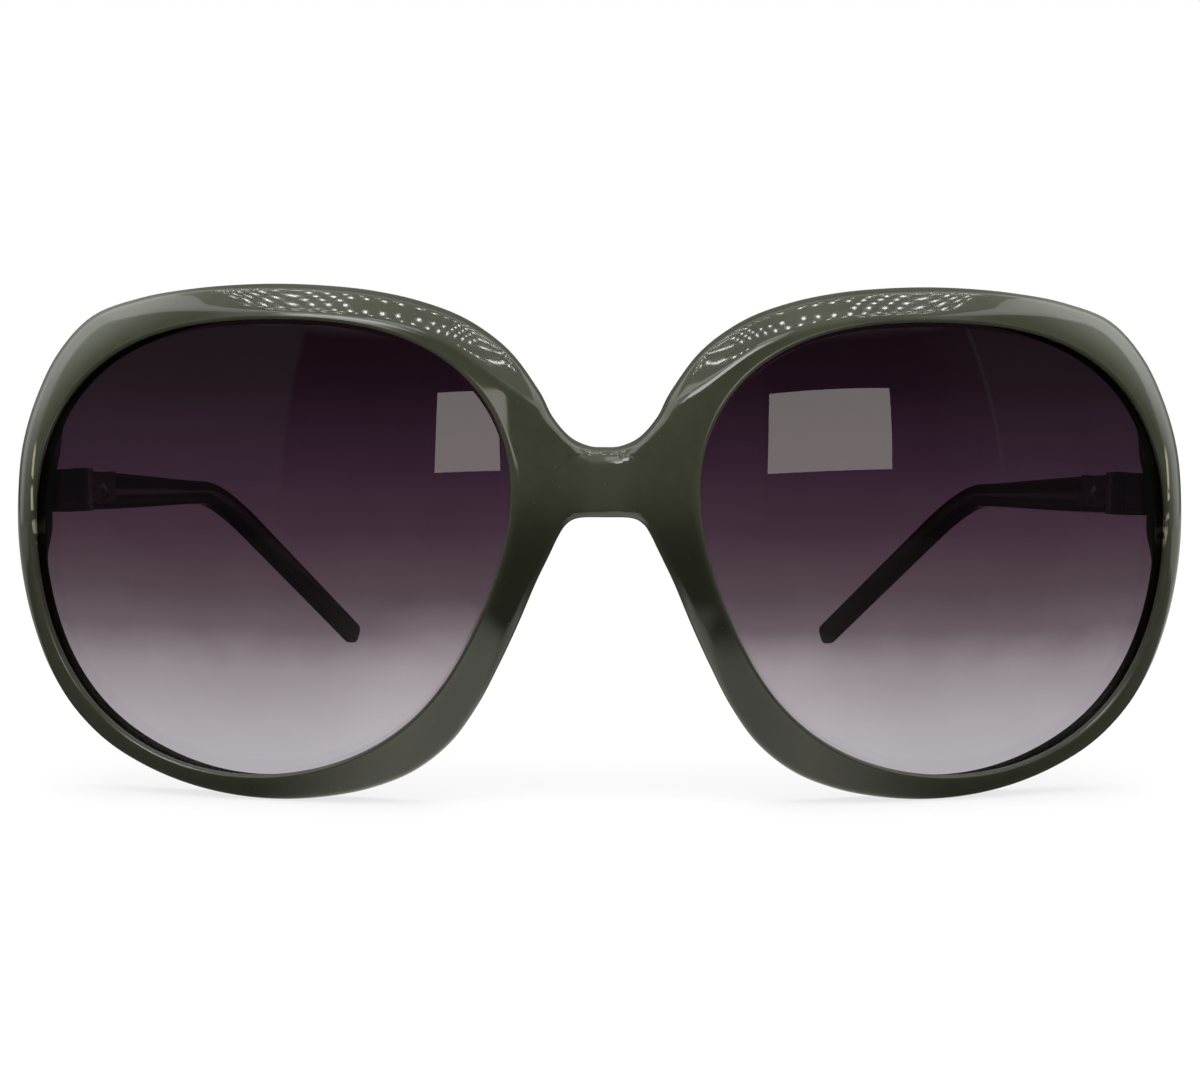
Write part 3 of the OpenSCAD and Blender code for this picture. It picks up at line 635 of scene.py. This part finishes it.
def output(tree, kind, key, inputs=None, **settings):
    return Value(tree, add(tree, kind, inputs, **settings).outputs[key])


def larger(a, b):
    return a.math("MAXIMUM", a, b)


def smaller(a, b):
    return a.math("MINIMUM", a, b)


def material(name):
    mat = bpy.data.materials.new(name)
    mat.use_nodes = True
    tree = mat.node_tree
    return mat, tree, tree.nodes["Principled BSDF"]


def ramp(share, stops):
    node = add(share.tree, "ValToRGB", {"Fac": share})
    elements = node.color_ramp.elements
    while len(elements) < len(stops):
        elements.new(0.5)
    for element, (position, colour) in zip(elements, stops):
        element.position = position
        element.color = (*colour, 1)
    return Value(share.tree, node.outputs["Color"])


def span(value, low, high, out_low=0.0, out_high=1.0, unit_size=1, smooth=True):
    """Value taken from the range low to high, in units of unit_size, to out_low to out_high."""
    return output(value.tree, "MapRange", "Result",
                  {"Value": value, "From Min": low * unit_size, "From Max": high * unit_size,
                   "To Min": out_low, "To Max": out_high},
                  interpolation_type="SMOOTHSTEP" if smooth else "LINEAR")


def span_mm(value, *limits):
    return span(value, *limits, unit_size=MM)


def span_deg(value, *limits):
    return span(value, *[math.radians(v) for v in limits[:2]], *limits[2:])


def noise(where, size, detail=2.0, rough=0.5):
    """Noise whose features are about size millimetres across."""
    return output(where.tree, "TexNoise", "Fac",
                  {"Vector": where, "Scale": 1 / (size * MM), "Detail": detail, "Roughness": rough})


def object_place(tree):
    return output(tree, "TexCoord", "Object")


def point_value(tree, name):
    return output(tree, "Attribute", "Fac", attribute_name=name, attribute_type="GEOMETRY")


def stretched(where, factor):
    """Place for a pattern that is drawn out sideways, factor times as fine up and down."""
    return output(where.tree, "Mapping", "Vector", {"Vector": where, "Scale": (1.0, 1.0, factor)})


def axes(vector):
    return [Value(vector.tree, socket) for socket in add(vector.tree, "SeparateXYZ", {0: vector}).outputs]


def mixed(share, a, b):
    """Colour a at share 0 and b at share 1."""
    return output(share.tree, "Mix", 2, {0: share, 6: a, 7: b}, data_type="RGBA")


def set_inputs(tree, shader, values):
    for key, value in values.items():
        feed(tree, shader.inputs[key], value)


SPECK_EDGE = (0.10, 0.22, 1.0, 0.0)
SPECK_PICK_SHARE = 0.8


def specks(where, size, amount):
    """Fine dust: 1 on a few small specks, 0 elsewhere."""
    cells = add(where.tree, "TexVoronoi", {"Vector": where, "Scale": 1 / (size * MM)})
    near = span(Value(where.tree, cells.outputs["Distance"]), *SPECK_EDGE)
    chance = axes(Value(where.tree, cells.outputs["Color"]))[0]
    return near * span(chance, 1 - amount, 1 - amount * SPECK_PICK_SHARE)


OLIVE_STOPS = [(0.30, (0.043, 0.047, 0.029)), (0.50, (0.054, 0.058, 0.037)), (0.70, (0.067, 0.071, 0.048))]
# Painted light and shade: the nose colour is painted shade, the bridge, edge and outer colours are painted
# light, and the streak colour is a painted glint
LOW_SHADE_OLIVE, BRIDGE_HIGHLIGHT_OLIVE = (0.019, 0.021, 0.013, 1), (0.072, 0.074, 0.054, 1)
EDGE_LIGHT_OLIVE, OUTER_LIGHT_OLIVE = (0.075, 0.080, 0.052, 1), (0.165, 0.173, 0.143, 1)
ANCHOR_GLINT_GOLD, DUST_GREY = (0.46, 0.42, 0.28, 1), (0.30, 0.31, 0.28, 1)
# Each pattern's size in millimetres, detail and roughness
CLOUDS, GRAIN, WAVES = (14.0, 3.0, 0.55), (1.6, 4.0, 0.6), (5.0, 1.0)
SCRATCHES, BREAKS = (0.9, 3.0, 0.6), (1.6, 2.0)
CLOUD_SHARE, GRAIN_SHARE, DUST_COLOUR_SHARE, BRIDGE_SHARE = 0.75, 0.25, 0.12, 0.5
DUST_SIZE, DUST_SHARE = 0.5, 0.03
EDGE_GRAIN = (0.2, 0.6, 0.7, 1.0)
NOSE_RISE, NOSE_ASIDE, BRIDGE_ASIDE = (30, 41), (18, 26, 0.0, 0.5), (1, 4.5, 1.0, 0.0)
LEFT_LOW, OUTER_ASIDE = (-10, 10, 0.0, 0.7), (44, 64)
UPPER_RISE, LOWER_RISE = (26, 50), (10, 24, 0.2, 1.0)
OUTER_BACK_Y, STREAK_BACK_Y = (17, 21), (15.5, 16.0)
STREAK_X, STREAK_BOW, STREAK_HALF_H = 71.75, 0.5, 6.5
STREAK_WIDTH, STREAK_END, STREAK_BREAKS = (0.08, 0.22, 1.0, 0.0), (0.75, 1.05, 1.0, 0.0), (0.38, 0.50)
PLASTIC_ROUGH, DUST_ROUGH, EDGE_ROUGH = (0.3, 0.8, 0.045, 0.075), 0.3, 0.25
SCRATCH_STRETCH, SCRATCH_DEPTH_SHARE, PLASTIC_BUMP, PLASTIC_BUMP_DEPTH = 9.0, 0.02, 0.3, 0.00001
RESIN_IOR = 1.5

plastic, tree, shader = material("olive_plastic")
where = object_place(tree)
x, y, z = axes(where)
aside = abs(x)
grain = noise(where, *GRAIN)
dust = specks(where, DUST_SIZE, DUST_SHARE)
olive = ramp(noise(where, *CLOUDS) * CLOUD_SHARE + grain * GRAIN_SHARE, OLIVE_STOPS)
# Painted shade: darker low down, fully at the sides of the nose below the bridge and half as much further
# aside, on the lower rims and the temples
olive = mixed(larger(span_mm(z, *NOSE_RISE), span_mm(aside, *NOSE_ASIDE)), LOW_SHADE_OLIVE, olive)
# Painted highlight: lighter in the middle of the bridge
olive = mixed(span_mm(aside, *BRIDGE_ASIDE) * BRIDGE_SHARE, olive, BRIDGE_HIGHLIGHT_OLIVE)
# Painted light along the thin edges of the front, for their highlight and the light through them
edge_light = point_value(tree, "edge_light") * span(grain, *EDGE_GRAIN)
olive = mixed(edge_light, olive, EDGE_LIGHT_OLIVE)
# Painted light: the rims are painted lighter at their outer upper sides, for the light through the
# translucent plastic there
upper = span_mm(z, *UPPER_RISE)
glow = span_mm(aside, *OUTER_ASIDE) * larger(span_mm(x, *LEFT_LOW), upper * upper)
glow = glow * span_mm(z, *LOWER_RISE) * point_value(tree, "outer")
glow = glow * span_mm(y, *[SHIFT_Y + v for v in OUTER_BACK_Y], 1.0, 0.0)
olive = mixed(glow, olive, OUTER_LIGHT_OLIVE)
# Painted glint: the metal anchor inside the rim beside the temple is painted on the rim as a broken light
# streak
high = (z - HINGE_Z * MM) / (STREAK_HALF_H * MM)
off_line = abs(aside - (high * high * (-STREAK_BOW * MM) + STREAK_X * MM))
streak = span_mm(off_line, *STREAK_WIDTH) * span(abs(high), *STREAK_END)
streak = streak * span(noise(where, *BREAKS), *STREAK_BREAKS)
streak = streak * span_mm(y, *[SHIFT_Y + v for v in STREAK_BACK_Y], 1.0, 0.0)
olive = mixed(streak, olive, ANCHOR_GLINT_GOLD)
olive = mixed(dust * DUST_COLOUR_SHARE, olive, DUST_GREY)
scratch = noise(stretched(where, SCRATCH_STRETCH), *SCRATCHES)
relief = noise(where, *WAVES) + scratch * SCRATCH_DEPTH_SHARE
set_inputs(tree, shader, {
    "Base Color": olive, "IOR": RESIN_IOR,
    "Roughness": span(scratch, *PLASTIC_ROUGH) + dust * DUST_ROUGH + edge_light * EDGE_ROUGH,
    "Normal": output(tree, "Bump", "Normal",
                     {"Height": relief, "Strength": PLASTIC_BUMP, "Distance": PLASTIC_BUMP_DEPTH})})

TINT_STOPS = [
    (0.00, (0.46, 0.44, 0.47)), (0.12, (0.40, 0.37, 0.40)), (0.24, (0.29, 0.25, 0.28)),
    (0.33, (0.136, 0.103, 0.123)), (0.42, (0.084, 0.056, 0.073)), (0.55, (0.052, 0.027, 0.043)),
    (0.70, (0.030, 0.013, 0.026)), (0.86, (0.012, 0.0045, 0.0095)), (1.00, (0.007, 0.003, 0.005)),
]
SMEARS, LENS_DUST_SIZE, LENS_DUST_SHARE = (9.0, 3.0, 0.6), 0.6, 0.06
SMEAR_SHIFT, SMEAR_ROUGH = (0.2, 0.8, -0.012, 0.012), (0.45, 0.75, 0.0, 0.012)
LENS_DUST_CLEAR = (0.0, 1.0, 1.0, 0.90)

tint, tree, shader = material("gradient_tint")
where = object_place(tree)
smear = noise(where, *SMEARS)
height = span(axes(where)[2], LENS_Z - HALF_H, LENS_Z + HALF_H, unit_size=MM, smooth=False)
set_inputs(tree, shader, {
    "Base Color": ramp(height + span(smear, *SMEAR_SHIFT), TINT_STOPS), "IOR": RESIN_IOR,
    "Roughness": span(smear, *SMEAR_ROUGH),
    "Transmission Weight": span(specks(where, LENS_DUST_SIZE, LENS_DUST_SHARE), *LENS_DUST_CLEAR)})

METAL_STOPS = [(0.3, (0.30, 0.29, 0.26)), (0.6, (0.50, 0.49, 0.45))]
BRUSHING, BRUSH_STRETCH, TARNISH = (1.2, 4.0, 0.65), 14.0, (1.8, 3.0, 0.6)
METAL_ROUGH, METAL_BUMP, METAL_BUMP_DEPTH = (0.25, 0.75, 0.2, 0.42), 0.35, 0.00002

metal, tree, shader = material("hinge_metal")
where = object_place(tree)
brushed = noise(stretched(where, BRUSH_STRETCH), *BRUSHING)
set_inputs(tree, shader, {
    "Base Color": ramp(noise(where, *TARNISH), METAL_STOPS),
    "Metallic": 1.0, "Roughness": span(brushed, *METAL_ROUGH),
    "Normal": output(tree, "Bump", "Normal",
                     {"Height": brushed, "Strength": METAL_BUMP, "Distance": METAL_BUMP_DEPTH})})


def dress(obj, mat):
    obj.data.materials.clear()
    obj.data.materials.append(mat)


dress(front, plastic)
for label in SIDES:
    dress(lenses[label], tint)
    dress(temples[label], plastic)
for name, obj in nodes.items():
    if "hinge" in name or "rivet" in name:
        for slot in obj.material_slots:
            slot.material = metal


# Stage: pale floor, white surroundings, and what the glossy front and the lenses mirror
def ray_share(tree, *names):
    """1 for rays of the named kinds, else 0."""
    rays = add(tree, "LightPath")
    total = Value(tree, rays.outputs[names[0]])
    for name in names[1:]:
        total = larger(total, Value(tree, rays.outputs[name]))
    return total


def stage_card(name, corners, mat):
    mesh = bpy.data.meshes.new(name)
    mesh.from_pydata([tuple(Vector(c) * MM) for c in corners], [], [tuple(range(len(corners)))])
    obj = bpy.data.objects.new(name, mesh)
    obj.data.materials.append(mat)
    bpy.context.scene.collection.objects.link(obj)
    return obj


def emission(tree, strength, colour=(1, 1, 1, 1)):
    return add(tree, "Emission", {"Strength": strength, "Color": colour}).outputs[0]


def mirrored_card(name, corners, strength, colour=(1, 1, 1, 1)):
    """A light card that only reflections see. Strength is a number, or a function of the place on it."""
    mat, tree, shader = material(name + "_glow")
    tree.nodes.remove(shader)
    level = strength(object_place(tree)) if callable(strength) else strength
    tree.links.new(emission(tree, level, colour), tree.nodes["Material Output"].inputs["Surface"])
    obj = stage_card(name, corners, mat)
    obj.visible_camera = False
    obj.visible_diffuse = False
    obj.visible_transmission = False
    obj.visible_volume_scatter = False
    obj.visible_shadow = False


FLOOR_HALF, FLOOR_Z = 900, -0.05
FLOOR_WHITE, FLOOR_BOUNCE, FLOOR_ROUGH = 0.86, 0.45, 0.6
SEEN_SHARE, SEEN_THROUGH_SHARE, WHITE_GLOW, FLOOR_FADE = 0.72, 0.93, 1.05, (120, 420)
FLOOR_SHINE, FLOOR_SHINE_LEAST, FLOOR_LEFT = (1.0, 0.99, 0.88, 1), 0.05, (-4, 5)
RIGHT_FRONT, LEFT_FRONT, FRONT_END = (-190, -110), (-146, -105, 0.0, 0.75), (-68, -48, 1.0, 0.15)
FRONT_ASIDE = (24, 46, 1.5, 0.12)
BESIDE_Y, BESIDE_LEFT, BESIDE_RIGHT = (-45, -25), (85, 110, 0.0, 0.8), (-110, -85, 0.5, 0.0)

floor_mat, tree, shader = material("pale_floor")
bounce = span(ray_share(tree, "Is Diffuse Ray"), 0.0, 1.0, FLOOR_WHITE, FLOOR_BOUNCE)
set_inputs(tree, shader, {
    "Base Color": output(tree, "CombineColor", 0, {0: bounce, 1: bounce, 2: bounce}),
    "Roughness": FLOOR_ROUGH, "Specular IOR Level": 0.0})
x, y, _ = axes(object_place(tree))
on_left = span_mm(x, *FLOOR_LEFT)
near = span_mm(y, *RIGHT_FRONT) * (1.0 - on_left) + span_mm(y, *LEFT_FRONT) * on_left
near = near * span_mm(y, *FRONT_END)
shine = larger(near * span_mm(abs(x), *FRONT_ASIDE), FLOOR_SHINE_LEAST)
beside = span_mm(y, *BESIDE_Y) * (span_mm(x, *BESIDE_LEFT) + span_mm(x, *BESIDE_RIGHT))
shine = larger(shine, beside)
reach = (x * x + y * y).changed("SQRT")
seen = larger(ray_share(tree, "Is Camera Ray") * SEEN_SHARE,
              ray_share(tree, "Is Transmission Ray") * SEEN_THROUGH_SHARE)
far = ray_share(tree, "Is Camera Ray", "Is Transmission Ray") * span_mm(reach, *FLOOR_FADE)
glossy, through = ray_share(tree, "Is Glossy Ray"), ray_share(tree, "Is Transmission Ray")
mirrored = glossy.math("SUBTRACT", glossy, through, clamp=True)
under = add(tree, "MixShader", {0: mirrored, 1: shader.outputs[0], 2: emission(tree, shine, FLOOR_SHINE)})
lit = add(tree, "MixShader", {0: larger(seen, far), 1: under.outputs[0], 2: emission(tree, WHITE_GLOW)})
tree.links.new(lit.outputs[0], tree.nodes["Material Output"].inputs["Surface"])
FLOOR_SIGNS = [(-1, -1), (1, -1), (1, 1), (-1, 1)]
stage_card("floor", [(FLOOR_HALF * a, FLOOR_HALF * b, FLOOR_Z) for a, b in FLOOR_SIGNS], floor_mat)

WINDOW = [(10, -735, 367), (4, -735, 162), (309, -735, 179), (328, -735, 400)]
WINDOW_LEVEL, WINDOW_COLOUR = 3.3, (1, 0.93, 0.88, 1)
mirrored_card("window", WINDOW, WINDOW_LEVEL, WINDOW_COLOUR)

# A dark flag close to the front keeps the window's reflection off the bridge
FLAG, FLAG_LEVEL = [(-3.5, -32, 36), (18, -32, 36), (18, -32, 78), (-3.5, -32, 78)], 0.03
mirrored_card("dark_flag", [(x, SHIFT_Y + y, z) for x, y, z in FLAG], FLAG_LEVEL)

# Ceiling panel with rows of small lamps round a plain middle
PANEL = [(-215, -280, 330), (215, -280, 330), (215, 20, 330), (-215, 20, 330)]
PANEL_LEVEL, LAMP_LEVEL = 0.6, 24.0
ROW_PITCH, FRONT_ROW_SHARE, LAMP_PITCH, LAMP_CROWDING, ROW_STAGGER = 15.0, 3.5, 18.0, 3.0, -0.3
LAMP_HALF_W_SHARE, LAMP_HALF_H_SHARE = 0.11, 0.22
FAR_X, FAR_Y = 190.0, -100.0
LAMPS_FRONT, LAMPS_BACK, LAMPS_ASIDE = -130, -20, 160
CORNER_ASIDE, CORNER_FRONT = 85, -180
PLAIN_HALF_W, PLAIN_HALF_D, PLAIN_Y = 60, 15, -64


def lamp_level(where):
    """Lamps stand closer together towards the sides, rows further apart at the front."""
    x, y, _ = axes(where)
    aside = abs(x)
    far_share = aside / (FAR_X * MM)
    along = aside / (LAMP_PITCH * MM) * (1.0 + far_share * far_share / LAMP_CROWDING)
    rows = (larger(y, FAR_Y * MM) / (ROW_PITCH * MM)
            + smaller(y - FAR_Y * MM, 0.0) / (FRONT_ROW_SHARE * ROW_PITCH * MM))
    along = along + rows.changed("FLOOR") * ROW_STAGGER
    across = (along.changed("FRACT") - 0.5) / LAMP_HALF_W_SHARE
    upright = (rows.changed("FRACT") - 0.5) / LAMP_HALF_H_SHARE
    zone = larger((y > LAMPS_FRONT * MM) * (y < LAMPS_BACK * MM),
                  (aside > CORNER_ASIDE * MM) * (y > CORNER_FRONT * MM))
    zone = zone * (aside < LAMPS_ASIDE * MM)
    ring = larger(aside > PLAIN_HALF_W * MM, abs(y - PLAIN_Y * MM) > PLAIN_HALF_D * MM)
    return (across * across + upright * upright < 1.0) * zone * ring * LAMP_LEVEL + PANEL_LEVEL


mirrored_card("lamp_panel", PANEL, lamp_level)
# A brighter patch beside the lamps
PATCH_Z, PATCH_LEVEL = 329, 3.0
PATCH = [(-230, -262), (7, -262), (7, -165), (-60, -165), (-60, -212), (-230, -212)]
mirrored_card("panel_patch", [(x, y, PATCH_Z) for x, y in PATCH], PATCH_LEVEL)


def area_light(name, spot, aim, size, power):
    """A soft light. Its place and aim are in millimetres, its size in metres and its power in watts."""
    lamp = bpy.data.lights.new(name, "AREA")
    lamp.shape = "RECTANGLE"
    lamp.size, lamp.size_y = size
    lamp.energy = power
    obj = bpy.data.objects.new(name, lamp)
    obj.location = Vector(spot) * MM
    obj.rotation_euler = (Vector(aim) * MM - obj.location).to_track_quat("-Z", "Y").to_euler()
    obj.visible_glossy = False
    obj.visible_transmission = False
    bpy.context.scene.collection.objects.link(obj)


TOP_LIGHT = ((0, -60, 700), (0, 0, 0), (0.8, 0.8), 6.0)
SIDE_LIGHT_AT, SIDE_LIGHT_AIM = (560, -260, 330), (40, -70, 40)
SIDE_LIGHT_SIZE, SIDE_LIGHT_POWER = (0.3, 0.5), 1.2
area_light("top_light", *TOP_LIGHT)
# Right and left here are as the camera sees them
for label, sign in (("right", 1), ("left", -1)):
    spot, aim = [(sign * p[0], *p[1:]) for p in (SIDE_LIGHT_AT, SIDE_LIGHT_AIM)]
    area_light(label + "_light", spot, aim, SIDE_LIGHT_SIZE, SIDE_LIGHT_POWER)

# The room that reflections see: bright high up, to the sides and behind, and faint in front.
# Angles are degrees from straight in front, and z is the sine of the height above the horizon
CEILING_EDGE, CEILING_RISE = (0.57, 0.62, 0.03, 1.0), (0.60, 0.75, 2.3, 2.7)
CEILING_ASIDE = (28, 48, 0.15, 1.0)
STRIP_START, STRIP_END, STRIP_EDGE = (-38, -30), (-14, 3, 11.0, 0.0), (0.60, 0.63)
SIDE_START, SIDE_RISE, SIDE_BALANCE = (80, 89), (0.05, 0.5, 0.5, 2.6), (-0.5, 0.5, 0.7, 0.95)
REAR_START, REAR_END, REAR_RISE = (95, 101), (120, 140, 1.0, 0.15), (-0.40, 0.10, 0.2, 1.6)
VEIL_LEFT, VEIL_RIGHT, VEIL_RISE = (44, 46, 0.0, 0.10), (-26, -28, 0.0, 0.15), (0.03, 0.25, 0.15, 1.0)
SHEEN_START, SHEEN_END = (44.0, 44.6, 0.0, 0.20), (45.0, 45.8, 1.0, 0.0)
OVERHEAD, BEHIND = (0.75, 0.95, 1.0, 0.7), (0.28, 0.50, 1.0, 0.1)
SOFT_LEVEL = 0.35

world = bpy.data.worlds.new("studio")
bpy.context.scene.world = world
world.use_nodes = True
tree = world.node_tree
x, y, z = axes(output(tree, "TexCoord", "Generated"))
turn = x.math("ARCTAN2", x, y * -1.0)
aside = abs(turn)
ceiling = span(z, *CEILING_EDGE) * span(z, *CEILING_RISE) * span_deg(aside, *CEILING_ASIDE)
strip = span_deg(turn, *STRIP_START) * span_deg(turn, *STRIP_END) * span(z, *STRIP_EDGE)
side = span_deg(aside, *SIDE_START) * span(z, *SIDE_RISE) * span(x, *SIDE_BALANCE)
rear = span_deg(aside, *REAR_START) * span_deg(aside, *REAR_END) * span(z, *REAR_RISE)
veil = larger(span_deg(turn, *VEIL_LEFT), span_deg(turn, *VEIL_RIGHT))
veil = larger(veil, span_deg(turn, *SHEEN_START) * span_deg(turn, *SHEEN_END)) * span(z, *VEIL_RISE)
room = larger(larger(side, rear), larger(larger(ceiling, strip), veil))
room = room * span(z, *OVERHEAD) * span(y, *BEHIND)
dim = add(tree, "Background", {"Strength": room})
soft = add(tree, "Background", {"Strength": SOFT_LEVEL})
white = tree.nodes["Background"]
white.inputs["Color"].default_value = (1, 1, 1, 1)
inner = add(tree, "MixShader", {0: ray_share(tree, "Is Glossy Ray"), 1: soft.outputs[0], 2: dim.outputs[0]})
outer = add(tree, "MixShader", {0: ray_share(tree, "Is Camera Ray", "Is Transmission Ray"),
                                1: inner.outputs[0], 2: white.outputs[0]})
tree.links.new(outer.outputs[0], tree.nodes["World Output"].inputs["Surface"])

# Camera: 200 mm in front of the rims, a little above the middle, tilted down
CAMERA_AT = (-4.15, SHIFT_Y - 200.0, 48.0)
CAMERA_TILT, CAMERA_PAN, CAMERA_ROLL = 4.38, 1.001, 0.246
FOCAL_SHARE = 1690.4 / 1200
SENSOR_W, CLIP_START = 36, 0.01
camera_data = bpy.data.cameras.new("camera")
camera_data.sensor_width = SENSOR_W
camera_data.lens = SENSOR_W * FOCAL_SHARE
camera_data.clip_start = CLIP_START
camera = bpy.data.objects.new("camera", camera_data)
camera.location = Vector(CAMERA_AT) * MM
aim = Euler((math.radians(90 - CAMERA_TILT), 0, math.radians(-CAMERA_PAN))).to_matrix()
camera.rotation_euler = (aim @ Matrix.Rotation(math.radians(CAMERA_ROLL), 3, "Z")).to_euler()
bpy.context.scene.collection.objects.link(camera)
bpy.context.scene.camera = camera
bpy.context.scene.view_settings.view_transform = "Standard"
